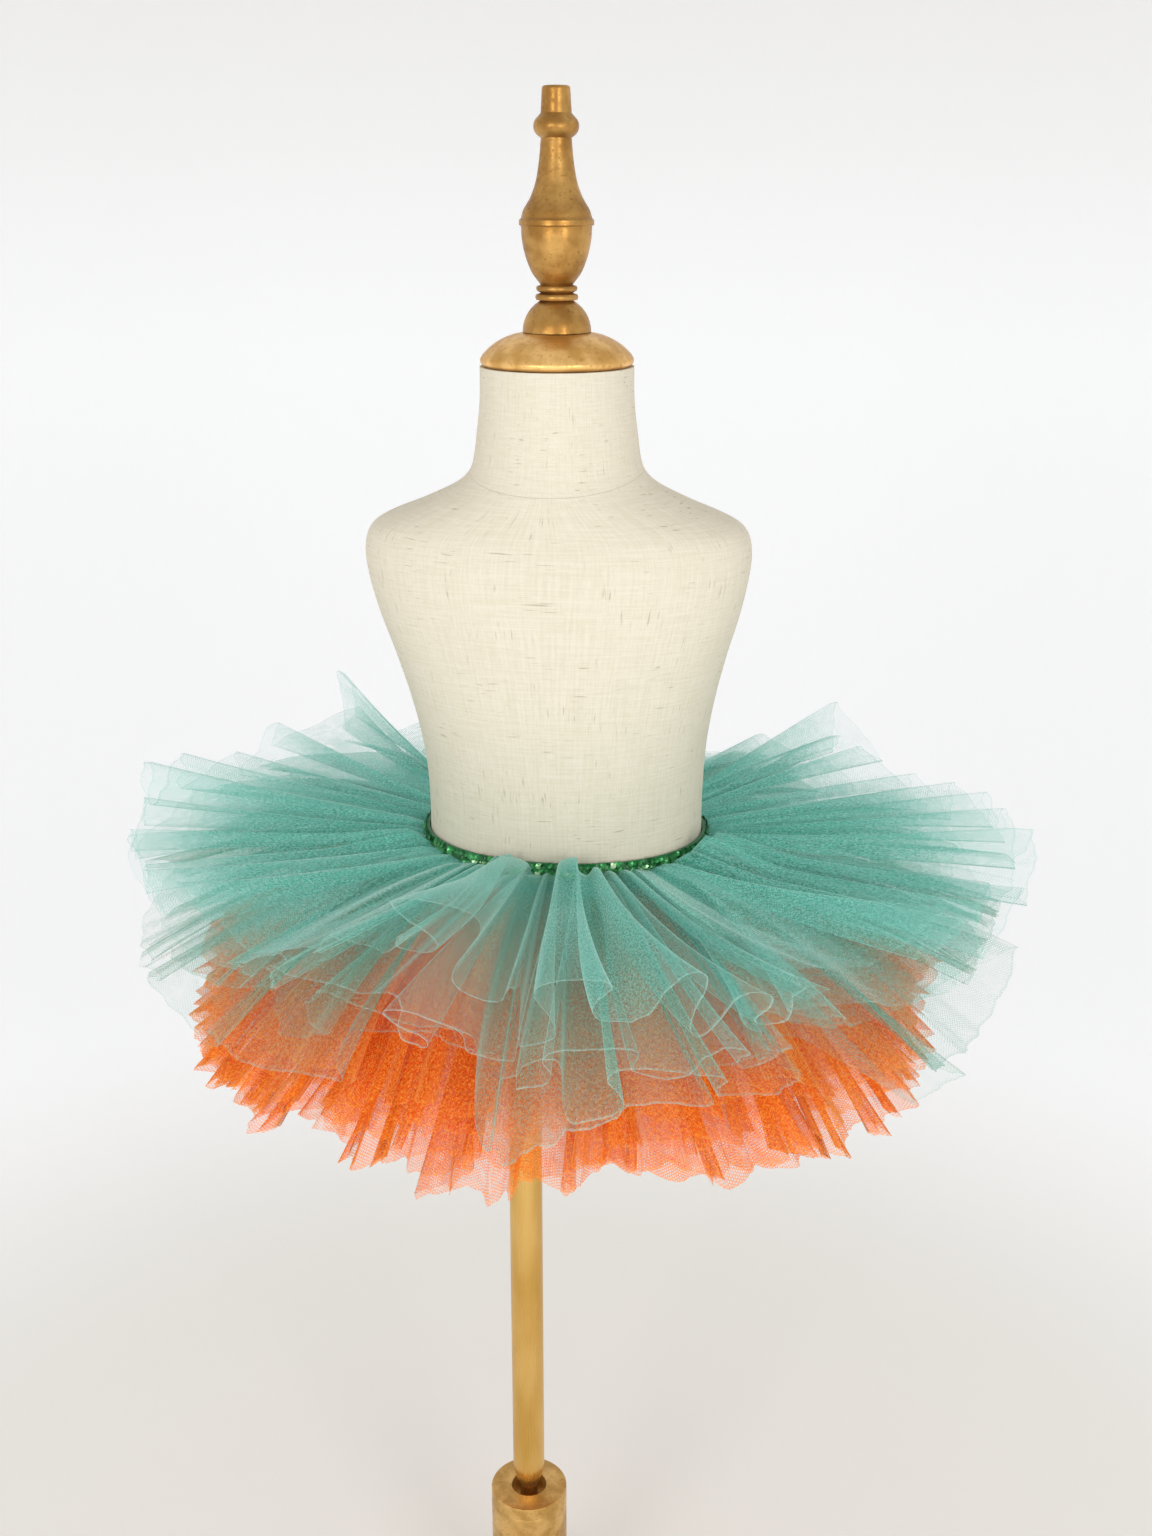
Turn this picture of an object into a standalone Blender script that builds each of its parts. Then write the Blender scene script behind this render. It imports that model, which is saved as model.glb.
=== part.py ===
"""A child's ballet tutu on a limbless linen dress form with a turned stand.

Frame: metres, +Z up, the viewer on the -Y side, +X to the viewer's right. The origin is the
centre of the base plate's underside. The pole stands on the Z axis, and the form hangs a little
to the right of it, turned a few degrees to the viewer's left.
"""

import math
from collections import namedtuple

import bmesh
import bpy
import numpy as np

MM = 0.001
GAP = 0.3 * MM  # what touching pieces keep between them
AROUND_FORM = 48
AROUND_TURNED = 28
AROUND_SKIRT = 72

# Stand, bottom to top
BASE_RADIUS = 125 * MM
BASE_THICKNESS = 12 * MM
BASE_ROUNDING = 3 * MM
HUB_HEIGHT = 168.5 * MM
HUB_RADIUS = 26.75 * MM
HUB_FOOT_RADIUS = 38 * MM
HUB_CAP_RING = 10 * MM  # from the hub's top down to its groove
HUB_CHAMFER = 1.2 * MM
CUP_RADIUS = 12.2 * MM  # the wide mouth of the hub's hole
CUP_DEPTH = 9 * MM
STUD_RADIUS = 6 * MM
STUD_LENGTH = 34 * MM  # below the hub's top
POLE_RADIUS = 11 * MM
POLE_TAPER = 20 * MM  # the pole narrows to its stud over this height
COLLAR_RADIUS = 24 * MM
COLLAR_HEIGHT = 16 * MM

HUB_TOP = BASE_THICKNESS + GAP + HUB_HEIGHT

# Dress form
WAIST_HEIGHT = 686.5 * MM  # top edge of the waistband above the floor
FORM_BELOW_WAIST = 118 * MM
NECK_TOP = 277 * MM  # above the waist
WAIST_OFFSET = 27.4 * MM  # the waist's centre from the pole, to the right
NECK_OFFSET = 22.8 * MM  # the neck's centre from the pole
FORM_TURN = math.radians(-8)  # front turned to the viewer's left
SHIFT_FROM = 20 * MM  # the body's centre drifts from the neck's line to the waist's
SHIFT_TO = 190 * MM

# Sections of the form: millimetres above the waist, half width, reach to the front and to the
# back from the section's centre, and how square it is (2 is an ellipse).
Section = namedtuple("Section", "height half_width front back square")
FORM_SECTIONS = [Section(*row) for row in (
    (277, 44.0, 44.0, 44.0, 2.0),
    (258, 44.4, 44.2, 44.4, 2.0),
    (240, 46.4, 45.0, 46.5, 2.0),
    (224, 48.8, 47.0, 49.0, 2.0),
    (216, 52.6, 49.0, 51.0, 2.0),
    (209, 61.5, 51.5, 53.5, 2.0),
    (200, 80.5, 55.0, 57.5, 2.1),
    (191.5, 101.5, 58.5, 61.0, 2.2),
    (184.5, 110.8, 61.5, 63.0, 2.3),
    (173, 113.8, 65.5, 65.0, 2.35),
    (158, 112.4, 69.0, 66.5, 2.35),
    (136, 107.2, 71.5, 67.5, 2.3),
    (112, 99.5, 72.5, 67.0, 2.25),
    (84, 91.8, 73.0, 65.5, 2.2),
    (56, 86.4, 72.0, 64.0, 2.15),
    (28, 84.1, 70.0, 63.5, 2.1),
    (0, 83.9, 68.0, 64.0, 2.1),
    (-32, 85.0, 68.5, 65.5, 2.1),
    (-64, 85.0, 68.5, 66.0, 2.1),
    (-88, 81.0, 65.5, 63.0, 2.1),
    (-106, 71.0, 57.0, 55.0, 2.1),
    (-115, 59.0, 46.5, 45.0, 2.0),
    (-118, 48.0, 37.0, 36.0, 2.0),
)]

# Waistband and skirt
BAND_HEIGHT = 30 * MM
BAND_THICKNESS = 2.6 * MM
BAND_CLEARANCE = 1.9 * MM  # from the waist's section to the band, so that it clears the facets
TULLE_WALL = 1.2 * MM
SKIRT_RINGS = 4
PLEAT_DEPTH = 5.5 * MM  # half a pleat's depth at the hem
PLEAT_STRETCH = 190 * MM  # pleats reach their full depth this far from the band
SEAM_LEDGE = 6 * MM  # tulle leaves its seam flat for this far

# Tiers: millimetres below the band's top where the tier is sewn on, its reach from the band at
# the front, right, back and left, its hem's rise (or fall) there, and how soon it falls.
Tier = namedtuple(
    "Tier",
    "name seam reach_front reach_right reach_back reach_left "
    "rise_front rise_right rise_back rise_left curl",
)
TIERS = [Tier(*row) for row in (
    ("teal_tier_1", 8, 146, 184, 174, 179, -10, -9, -8, -1, 1.7),
    ("teal_tier_2", 11.5, 148, 178, 170, 175, -38, -33, -21, -25, 1.6),
    ("teal_tier_3", 15, 148, 172, 165, 170, -60, -56, -34, -46, 1.5),
    ("orange_tier_1", 18.5, 131, 146, 146, 152, -80, -77, -50, -68, 1.3),
    ("orange_tier_2", 22, 127, 142, 143, 150, -99, -98, -68, -90, 1.25),
    ("orange_tier_3", 25.5, 121, 137, 138, 147, -116, -117, -86, -112, 1.2),
)]

# The largest folds: azimuth of the crest in degrees (0 right, 90 back, 180 left, 270 front),
# half width in degrees and height in millimetres at the hem.
Fold = namedtuple("Fold", "azimuth half_width height")
FOLDS = [Fold(*row) for row in (
    (250, 9, 13), (268, 7, -11), (284, 9, 14), (301, 7, -9), (317, 10, 11), (338, 9, -8),
    (0, 11, 9), (24, 10, -8), (47, 11, 11), (72, 9, -8), (94, 12, 9), (118, 10, -9),
    (140, 12, 11), (163, 10, -8), (184, 12, 9), (207, 9, -9), (229, 9, 8),
)]


def clear_scene():
    for old in list(bpy.data.objects):
        bpy.data.objects.remove(old, do_unlink=True)


def make_collection(name):
    collection = bpy.data.collections.new(name)
    bpy.context.scene.collection.children.link(collection)
    return collection


def make_material(name, colour, roughness, metallic=0.0):
    material = bpy.data.materials.new(name)
    material.use_nodes = True
    surface = material.node_tree.nodes["Principled BSDF"]
    surface.inputs["Base Color"].default_value = (*colour, 1.0)
    surface.inputs["Roughness"].default_value = roughness
    surface.inputs["Metallic"].default_value = metallic
    return material


def add_object(name, bm, collection, material, location=(0, 0, 0), turn=0.0):
    """Makes an object of a bmesh, turned about its own Z axis and placed."""
    mesh = bpy.data.meshes.new(name)
    bm.to_mesh(mesh)
    bm.free()
    ob = bpy.data.objects.new(name, mesh)
    collection.objects.link(ob)
    mesh.materials.append(material)
    ob.location = location
    ob.rotation_euler = (0, 0, turn)
    return ob


def shade(ob, sharp_degrees=35):
    ob.data.shade_smooth()
    ob.data.set_sharp_from_angle(angle=math.radians(sharp_degrees))


def smooth_through(stations, steps):
    """Points of a Catmull-Rom curve through the stations, steps to each stretch."""
    p = np.array(stations, float)
    p = np.vstack([2 * p[0] - p[1], p, 2 * p[-1] - p[-2]])
    found = []
    for a, b, c, d in zip(p, p[1:], p[2:], p[3:]):
        for t in np.arange(steps) / steps:
            found.append(
                0.5 * (2 * b + (c - a) * t + (2 * a - 5 * b + 4 * c - d) * t**2
                       + (3 * b - a - 3 * c + d) * t**3)
            )
    return [tuple(q) for q in found] + [tuple(p[-2])]


def arc(centre, radius, start, end, steps):
    """Points of a circle's arc in (radius, height), from start to end degrees."""
    return [
        (centre[0] + radius * math.cos(math.radians(a)), centre[1] + radius * math.sin(math.radians(a)))
        for a in np.linspace(start, end, steps + 1)
    ]


def turned(name, profile, collection, material, location):
    """A lathe-turned piece: a profile of (radius, height) from top to bottom, given a Screw."""
    bm = bmesh.new()
    points = [bm.verts.new((r, 0, z)) for r, z in profile]
    for upper, lower in zip(points, points[1:]):
        bm.edges.new((upper, lower))
    ob = add_object(name, bm, collection, material, location)
    screw = ob.modifiers.new("turning", "SCREW")
    screw.steps = AROUND_TURNED
    screw.render_steps = AROUND_TURNED
    screw.use_merge_vertices = True
    screw.merge_threshold = 0.00002
    shade(ob)
    screw.use_smooth_shade = True
    return ob


def in_metres(points):
    return [(r * MM, z * MM) for r, z in points]


# ---------------------------------------------------------------- stand


def base_plate(collection, material):
    bm = bmesh.new()
    bmesh.ops.create_cone(
        bm, cap_ends=True, segments=64, radius1=BASE_RADIUS, radius2=BASE_RADIUS, depth=BASE_THICKNESS,
    )
    ob = add_object("base_plate", bm, collection, material, (0, 0, BASE_THICKNESS / 2))
    bevel = ob.modifiers.new("rounded_rim", "BEVEL")
    bevel.width = BASE_ROUNDING
    bevel.segments = 2
    bevel.limit_method = "ANGLE"
    shade(ob)
    return ob


def hub(collection, material):
    """A turned post with a cap ring over a groove, and a cup and bore for the pole's stud."""
    top = HUB_HEIGHT
    groove = top - HUB_CAP_RING
    bore = STUD_RADIUS + GAP
    profile = [
        (0, top - STUD_LENGTH - GAP),
        (bore, top - STUD_LENGTH - GAP),
        (bore, top - CUP_DEPTH),
        (CUP_RADIUS, top - CUP_DEPTH),
        (CUP_RADIUS, top),
        (HUB_RADIUS - HUB_CHAMFER, top),
        (HUB_RADIUS, top - HUB_CHAMFER),
        (HUB_RADIUS, groove + 0.8 * MM),
        (HUB_RADIUS - 0.8 * MM, groove),
        (HUB_RADIUS, groove - 0.8 * MM),
        (HUB_RADIUS, 62 * MM),
        (HUB_RADIUS - 3 * MM, 56 * MM),
        (HUB_RADIUS - 3 * MM, 50 * MM),
    ]
    profile += smooth_through(
        [(HUB_RADIUS, 46 * MM), (HUB_RADIUS + 4 * MM, 34 * MM), (HUB_FOOT_RADIUS, 14 * MM)], 3
    )
    profile += [(HUB_FOOT_RADIUS, 2 * MM), (HUB_FOOT_RADIUS - 2 * MM, 0), (0, 0)]
    return turned("hub", profile, collection, material, (0, 0, BASE_THICKNESS + GAP))


def pole_top():
    return WAIST_HEIGHT - FORM_BELOW_WAIST - GAP


def pole(collection, material):
    """A round tube that narrows to a stud, which stands in the hub's bore."""
    top = pole_top()
    foot = HUB_TOP - STUD_LENGTH
    taper = [
        (STUD_RADIUS + (POLE_RADIUS - STUD_RADIUS) * math.sin(math.pi / 2 * t), HUB_TOP + POLE_TAPER * t)
        for t in (1.0, 0.7, 0.4, 0.15, 0.0)
    ]
    profile = [(0, top), (POLE_RADIUS, top), *taper, (STUD_RADIUS, foot), (0, foot)]
    return turned("pole", profile, collection, material, (0, 0, 0))


def pole_collar(collection, material):
    """A flanged ring round the pole's top, under the form."""
    inner = POLE_RADIUS + GAP
    sleeve = POLE_RADIUS + 4 * MM
    top = COLLAR_HEIGHT
    profile = [
        (inner, top),
        (COLLAR_RADIUS, top),
        (COLLAR_RADIUS, top - 4 * MM),
        (sleeve, top - 6 * MM),
        (sleeve, 0),
        (inner, 0),
        (inner, top),
    ]
    return turned("pole_collar", profile, collection, material, (0, 0, pole_top() - COLLAR_HEIGHT))


# ---------------------------------------------------------------- dress form


def form_rows(steps):
    """The form's sections as a smooth table, top to bottom, in metres."""
    rows = np.array(smooth_through(FORM_SECTIONS, steps))
    rows[:, :4] *= MM
    return rows


def form_centre(height):
    """How far the body's centre stands from the pole: it drifts from neck to waist."""
    t = min(max((height - SHIFT_FROM) / (SHIFT_TO - SHIFT_FROM), 0.0), 1.0)
    eased = t * t * (3 - 2 * t)
    return WAIST_OFFSET + (NECK_OFFSET - WAIST_OFFSET) * eased


def form_ring(row, count, grow=0.0):
    """Points round one section of the form, moved out by grow, about the section's centre."""
    half_width, front, back, square = row[1:]
    angles = np.linspace(0, 2 * np.pi, count, endpoint=False)
    power = 2 / square
    across = np.sign(np.cos(angles)) * np.abs(np.cos(angles)) ** power * (half_width + grow)
    reach = np.where(np.sin(angles) < 0, front, back) + grow
    along = np.sign(np.sin(angles)) * np.abs(np.sin(angles)) ** power * reach
    turn = np.array([[math.cos(FORM_TURN), -math.sin(FORM_TURN)], [math.sin(FORM_TURN), math.cos(FORM_TURN)]])
    return np.stack([across, along], axis=1) @ turn.T


def loft(bm, rings):
    """Quads between rings of vertices, each closed on itself."""
    for upper, lower in zip(rings, rings[1:]):
        count = len(upper)
        for i in range(count):
            j = (i + 1) % count
            bm.faces.new((upper[i], lower[i], lower[j], upper[j]))


def form_body(collection, material):
    """The linen-covered torso and neck, whole, with rounded shoulders and a flat underside."""
    bm = bmesh.new()
    rings = []
    for row in form_rows(1):
        centre = form_centre(row[0])
        rings.append([
            bm.verts.new((centre + x, y, row[0])) for x, y in form_ring(row, AROUND_FORM)
        ])
    loft(bm, rings)
    bm.faces.new(list(reversed(rings[0])))
    bm.faces.new(rings[-1])
    bmesh.ops.recalc_face_normals(bm, faces=bm.faces[:])
    ob = add_object("form_body", bm, collection, material, (0, 0, WAIST_HEIGHT))
    shade(ob, 50)
    return ob


def neck_cap(collection, material):
    """A turned disc on the neck: a low ogee dome with one raised ring."""
    dome = smooth_through([(19, 18.4), (25, 17.2), (31.5, 14.7), (37.5, 11), (42, 6.8)], 2)
    rim = arc((40.6, 3.2), 3.2, 20, -70, 4)
    profile = in_metres([(0, dome[0][1]), *dome, *rim, (0, rim[-1][1])])
    return turned("neck_cap", profile, collection, material, (NECK_OFFSET, 0, WAIST_HEIGHT + NECK_TOP + GAP))


def finial(collection, material):
    """A turned finial: half ball, two rings, vase with a ridge, neck, bead and knob."""
    ball = arc((0, 0), 19.4, 0, 56, 4)
    lower_ring = [(9.2, 17.2), *arc((9.8, 18.9), 2.3, -40, 40, 2), (9.0, 21.2)]
    upper_ring = [*arc((9.6, 23.6), 2.0, -40, 40, 2), (9.0, 25.6)]
    vase_low = smooth_through([(10.2, 27.0), (14.2, 32.6), (17.5, 41.0), (19.4, 50.0), (19.8, 56.6)], 2)
    ridge = [(20.9, 57.6), (20.9, 60.0)]
    vase_high = smooth_through(
        [(19.8, 61.2), (18.4, 65.6), (14.6, 72.0), (11.6, 80.0), (9.6, 91.0), (8.5, 102.8)], 2
    )
    bead = arc((6.6, 108.8), 6.0, -60, 50, 4)
    knob = [(8.5, 115.6), (7.8, 127.6), (6.6, 129.3), (0, 129.6)]
    upwards = [*ball, *lower_ring, *upper_ring, *vase_low, *ridge, *vase_high, *bead, *knob]
    profile = in_metres([*reversed(upwards), (0, 0)])
    seat = WAIST_HEIGHT + NECK_TOP + GAP + 18.4 * MM + GAP
    return turned("finial", profile, collection, material, (NECK_OFFSET, 0, seat))


# ---------------------------------------------------------------- waistband and skirt


def waist_row(height):
    """The form's section at a height above the waist, from the smooth table."""
    rows = form_rows(4)[::-1]
    return np.array([np.interp(height, rows[:, 0], rows[:, k]) for k in range(5)])


def band_outline(count, grow):
    """The waistband's outline: the waist's own section, moved out."""
    return form_ring(waist_row(0.0), count, grow) + (WAIST_OFFSET, 0)


def waistband(collection, material):
    """Sequined elastic round the waist: a flat ring with soft outer edges."""
    inner = BAND_CLEARANCE
    outer = inner + BAND_THICKNESS
    soft = 0.8 * MM
    section = (
        (inner, 0.0), (outer - soft, 0.0), (outer, -soft), (outer, soft - BAND_HEIGHT),
        (outer - soft, -BAND_HEIGHT), (inner, -BAND_HEIGHT),
    )
    bm = bmesh.new()
    rings = [
        [bm.verts.new((x, y, z)) for x, y in band_outline(AROUND_SKIRT, grow)] for grow, z in section
    ]
    loft(bm, [*rings, rings[0]])
    bmesh.ops.recalc_face_normals(bm, faces=bm.faces[:])
    ob = add_object("waistband", bm, collection, material, (0, 0, WAIST_HEIGHT))
    shade(ob, 50)
    return ob


def around(tier, kind, angles):
    """A tier's reach or rise at each azimuth, blended between front, right, back and left."""
    side = np.cos(angles) ** 2
    end = np.sin(angles) ** 2
    right = np.where(np.cos(angles) > 0, side, 0)
    back = np.where(np.sin(angles) > 0, end, 0)
    front, to_right, to_back, left = (
        getattr(tier, f"{kind}_{side}") for side in ("front", "right", "back", "left")
    )
    return (front * (end - back) + to_right * right + to_back * back + left * (side - right)) * MM


def large_folds(angles):
    """The largest folds' height at the hem, each a smooth hump about its azimuth."""
    height = np.zeros_like(angles)
    for fold in FOLDS:
        off = (np.degrees(angles) - fold.azimuth + 180) % 360 - 180
        height += fold.height * MM * np.exp(-((off / fold.half_width) ** 2))
    return height


def skirt_tier(tier, collection, material):
    """A gathered ring of stiff tulle: pleats and folds grow from the seam to an uneven hem."""
    angles = np.linspace(0, 2 * np.pi, AROUND_SKIRT, endpoint=False)
    start = band_outline(AROUND_SKIRT, BAND_CLEARANCE + BAND_THICKNESS + GAP)
    ahead = np.roll(start, -1, axis=0) - np.roll(start, 1, axis=0)
    outward = np.stack([ahead[:, 1], -ahead[:, 0]], axis=1)
    outward /= np.linalg.norm(outward, axis=1)[:, None]
    uneven = 1 + 0.022 * np.sin(7 * angles + 0.6) + 0.018 * np.sin(17 * angles + 2.1)
    reach = around(tier, "reach", angles) * uneven
    rise = around(tier, "rise", angles)
    up_and_down = np.where(np.arange(AROUND_SKIRT) % 2 == 0, 1.0, -1.0)
    pleat = PLEAT_DEPTH * up_and_down * (1 + 0.3 * np.sin(5 * angles + 1.0))
    fold = large_folds(angles)
    bm = bmesh.new()
    rings = []
    for k in range(SKIRT_RINGS + 1):
        share = 0.0 if k == 0 else (k - 1) / (SKIRT_RINGS - 1)
        out = SEAM_LEDGE + (reach - SEAM_LEDGE) * share if k else np.zeros_like(reach)
        free = np.clip((out - SEAM_LEDGE) / PLEAT_STRETCH, 0, None)
        height = -tier.seam * MM + rise * share**tier.curl + (pleat + fold) * free
        place = start + outward * out[:, None]
        rings.append([bm.verts.new((x, y, z)) for (x, y), z in zip(place, height)])
    loft(bm, rings)
    ob = add_object(tier.name, bm, collection, material, (0, 0, WAIST_HEIGHT))
    wall = ob.modifiers.new("tulle_wall", "SOLIDIFY")
    wall.thickness = TULLE_WALL
    wall.offset = 0.0
    shade(ob, 30)
    return ob


def main():
    clear_scene()
    parts = make_collection("ballet_tutu_on_dress_form")
    linen = make_material("linen", (0.83, 0.78, 0.65), 0.85)
    painted_gold = make_material("painted_gold", (0.55, 0.33, 0.09), 0.42, 0.7)
    brushed_gold = make_material("brushed_gold", (0.66, 0.38, 0.10), 0.3, 0.9)
    sequins = make_material("green_sequins", (0.01, 0.22, 0.08), 0.25, 0.3)
    teal = make_material("teal_tulle", (0.10, 0.37, 0.30), 0.7)
    orange = make_material("orange_tulle", (0.74, 0.12, 0.02), 0.7)

    base_plate(parts, painted_gold)
    hub(parts, painted_gold)
    pole(parts, brushed_gold)
    pole_collar(parts, painted_gold)
    form_body(parts, linen)
    neck_cap(parts, painted_gold)
    finial(parts, painted_gold)
    waistband(parts, sequins)
    for tier in TIERS:
        skirt_tier(tier, parts, teal if tier.name.startswith("teal") else orange)


main()
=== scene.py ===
"""A child's ballet tutu on a linen dress form: the finish of every piece.

Frame: metres, +Z up, the viewer on the -Y side. Every new surface is a grid of points worked out
from two parameters. Azimuths are in degrees: 0 right, 90 back, 180 left, 270 front.
"""

import math
from collections import namedtuple

import bmesh
import bpy
import numpy as np
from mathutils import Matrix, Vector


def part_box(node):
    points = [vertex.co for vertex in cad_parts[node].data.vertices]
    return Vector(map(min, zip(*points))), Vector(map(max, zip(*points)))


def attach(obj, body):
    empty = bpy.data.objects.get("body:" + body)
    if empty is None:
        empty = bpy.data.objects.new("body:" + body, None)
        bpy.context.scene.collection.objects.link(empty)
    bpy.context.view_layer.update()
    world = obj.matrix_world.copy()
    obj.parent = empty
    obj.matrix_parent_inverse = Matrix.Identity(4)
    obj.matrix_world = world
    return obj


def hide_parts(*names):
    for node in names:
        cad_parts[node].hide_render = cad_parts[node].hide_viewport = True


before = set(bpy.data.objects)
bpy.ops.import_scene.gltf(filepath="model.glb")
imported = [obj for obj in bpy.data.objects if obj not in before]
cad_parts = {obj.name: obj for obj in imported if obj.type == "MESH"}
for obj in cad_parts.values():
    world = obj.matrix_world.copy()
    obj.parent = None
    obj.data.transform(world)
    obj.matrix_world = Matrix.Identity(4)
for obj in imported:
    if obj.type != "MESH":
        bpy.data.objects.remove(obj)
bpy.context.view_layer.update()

MM = 0.001
GAP = 0.3 * MM
WELD = 0.002 * MM  # points this close are one
TURN_COLUMNS = 96  # columns round a turned piece

# Picture: 1152 by 1536, its focal length in pixels, and where the camera stands
PICTURE_HEIGHT = 1536
FOCAL_PIXELS = 1700
SENSOR = 36.0
CAMERA_PLACE = (0.0336, -0.99, 1.057)
CAMERA_TILT = math.radians(18.7)

# Studio: the soft boxes' size, power, distance to each side and place along Y and Z, the spot
# that they light, and how bright the room and the sweep glow
BOX_SIZE = (0.7, 0.9)
BOX_WATTS = 11.5
BOX_SIDE = 0.9
BOX_PLACE = (-2.0, 1.1)
LIT_SPOT = (0.02, 0.0, 0.75)
ROOM_GLOW = 0.70
SWEEP_GLOW = 0.175

# Stand, form and band, from the frame
BASE_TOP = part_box("base_plate")[1].z
BASE_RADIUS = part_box("base_plate")[1].x
HUB_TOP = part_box("hub")[1].z
HUB_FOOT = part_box("hub")[0].z
POLE_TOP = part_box("pole")[1].z
POLE_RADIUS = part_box("pole")[1].x
CAP_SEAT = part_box("neck_cap")[0].z
FINIAL_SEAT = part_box("finial")[0].z
COLLAR_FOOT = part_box("pole_collar")[0].z
COLLAR_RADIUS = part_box("pole_collar")[1].x
WAIST_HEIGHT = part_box("waistband")[1].z
BAND_HEIGHT = WAIST_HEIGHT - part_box("waistband")[0].z

# Stand, form and band, in their own sizes. The form's axis drifts from the neck's line to the
# waist's between SHIFT_TO and SHIFT_FROM above the waist.
HUB_RADIUS = 26.75 * MM
HUB_BORE = 6.3 * MM
CUP_RADIUS = 12.2 * MM
WAIST_OFFSET = 27.4 * MM
NECK_OFFSET = 22.8 * MM
FORM_TURN = math.radians(-8)
SHIFT_FROM = 20 * MM
SHIFT_TO = 190 * MM
BAND_INNER = 0.7 * MM
BAND_OUTER = 3.0 * MM
ROUND_WAIST = 0.5  # the cloth's own length round the waist, and round the band's section
ROUND_SECTION = 0.065

# Sequins
SEQUIN_RADIUS = 1.9 * MM
SEQUIN_CUP = 0.4 * MM
SEQUIN_SIDES = 8
SEQUIN_ROWS = 10
SEQUIN_ROW_STEP = 2.3 * MM
SEQUIN_SPACING = 2.7 * MM
SEQUIN_STAND_OFF = 0.8 * MM

# Sections of the form: millimetres above the waist, half width, reach to the front and to the
# back, and how square it is (2 is an ellipse).
Section = namedtuple("Section", "height half_width front back square")
FORM_SECTIONS = [Section(*row) for row in (
    (277, 44.0, 44.0, 44.0, 2.0),
    (258, 44.4, 44.2, 44.4, 2.0),
    (240, 46.4, 45.0, 46.5, 2.0),
    (224, 48.8, 47.0, 49.0, 2.0),
    (216, 52.6, 49.0, 51.0, 2.0),
    (209, 61.5, 51.5, 53.5, 2.0),
    (200, 80.5, 55.0, 57.5, 2.1),
    (191.5, 101.5, 58.5, 61.0, 2.2),
    (184.5, 110.8, 61.5, 63.0, 2.3),
    (173, 113.8, 65.5, 65.0, 2.35),
    (158, 112.4, 69.0, 66.5, 2.35),
    (136, 107.2, 71.5, 67.5, 2.3),
    (112, 99.5, 72.5, 67.0, 2.25),
    (84, 91.8, 73.0, 65.5, 2.2),
    (56, 86.4, 72.0, 64.0, 2.15),
    (28, 84.1, 70.0, 63.5, 2.1),
    (0, 83.9, 68.0, 64.0, 2.1),
    (-32, 85.0, 68.5, 65.5, 2.1),
    (-64, 85.0, 68.5, 66.0, 2.1),
    (-88, 81.0, 65.5, 63.0, 2.1),
    (-106, 71.0, 57.0, 55.0, 2.1),
    (-115, 59.0, 46.5, 45.0, 2.0),
    (-118, 48.0, 37.0, 36.0, 2.0),
)]
ROUND_CHEST = 0.56  # the linen's own length round the chest
NECK_SEAM = 219 * MM  # the neck's seam above the waist, at the sides
NECK_SEAM_DIP = 9 * MM  # how much lower it runs at the front
SEAM_HALF_GAP = 0.05 * MM
SEAM_TUCK = 0.25 * MM  # how far the covers turn inwards at the seam, and at their other ends
END_TUCK = 0.5 * MM
NECK_ROWS = 60
BODY_ROWS = 190

# Frills: one gathered strip of tulle each. The tier it stands for, its net, and how pale it is made,
# from 0 to 1; the lower teal frills are made darker, a painted shade from the frills above.
# Millimetres: where it is sewn below the band's top, its reach from the band at the front, right,
# back and left and its hem's rise there; how soon it falls; how many flutes go round, how high they
# stand, how far each is folded over its neighbour (a share of its own width) and how far they rise
# or drop against each other; how ragged the hem is; and a seed for its unevenness.
Frill = namedtuple(
    "Frill",
    "name stands_for net tone seam reach_front reach_right reach_back reach_left "
    "rise_front rise_right rise_back rise_left curl flutes height over stagger ragged seed",
)
FRILLS = [Frill(*row) for row in (
    ("teal_frill_1", "teal_tier_1", "teal", 0.3, 6, 144, 184, 172, 178,
     -8, -6, -8, 2, 1.7, 27, 14, 0.9, 9, 1.5, 11),
    ("teal_frill_2", "teal_tier_1", "teal", 0.22, 9, 146, 180, 168, 174,
     -30, -20, -14, -12, 1.65, 29, 12, 0.9, 9, 1.5, 12),
    # The lower teal frills: a darker net and lower tone, a painted shade from the frills above
    ("teal_frill_3", "teal_tier_2", "deep_teal", 0.12, 12, 148, 177, 166, 174,
     -48, -42, -22, -34, 1.6, 27, 11, 0.9, 9, 1.5, 13),
    ("teal_frill_4", "teal_tier_3", "deep_teal", 0.05, 15, 148, 176, 162, 176,
     -62, -68, -34, -60, 1.5, 28, 10, 0.9, 8, 1.5, 14),
    ("orange_frill_1", "orange_tier_1", "orange", 0.05, 18, 129, 133, 140, 137,
     -78, -84, -50, -76, 1.3, 34, 9, 0.9, 13, 4, 15),
    ("orange_frill_2", "orange_tier_2", "orange", 0.15, 21, 128, 135, 140, 141,
     -92, -96, -64, -88, 1.27, 37, 8, 0.9, 12, 5, 16),
    ("orange_frill_3", "orange_tier_2", "orange", 0.25, 23, 124, 137, 140, 146,
     -104, -103, -74, -96, 1.24, 40, 8, 0.9, 10, 6, 17),
    ("orange_frill_4", "orange_tier_3", "orange", 0.35, 25.5, 121, 134, 136, 144,
     -115, -117, -84, -111, 1.2, 42, 7, 0.9, 7, 7, 18),
)]
SEAM_LEDGE = 6 * MM
SEAM_LIFT = 4 * MM  # the height that flutes already have beside the seam, at most SEAM_SHARE of it
SEAM_SHARE = 0.22
FLUTE_COLUMNS = {"teal": 34, "orange": 24}
FRILL_ROWS = 44
FULL_DEPTH = 180 * MM  # flutes reach their full height this far from the band
LATE_FROM = 0.55  # from this share of its width on, a flute's reach and rise turn into the next's

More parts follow.
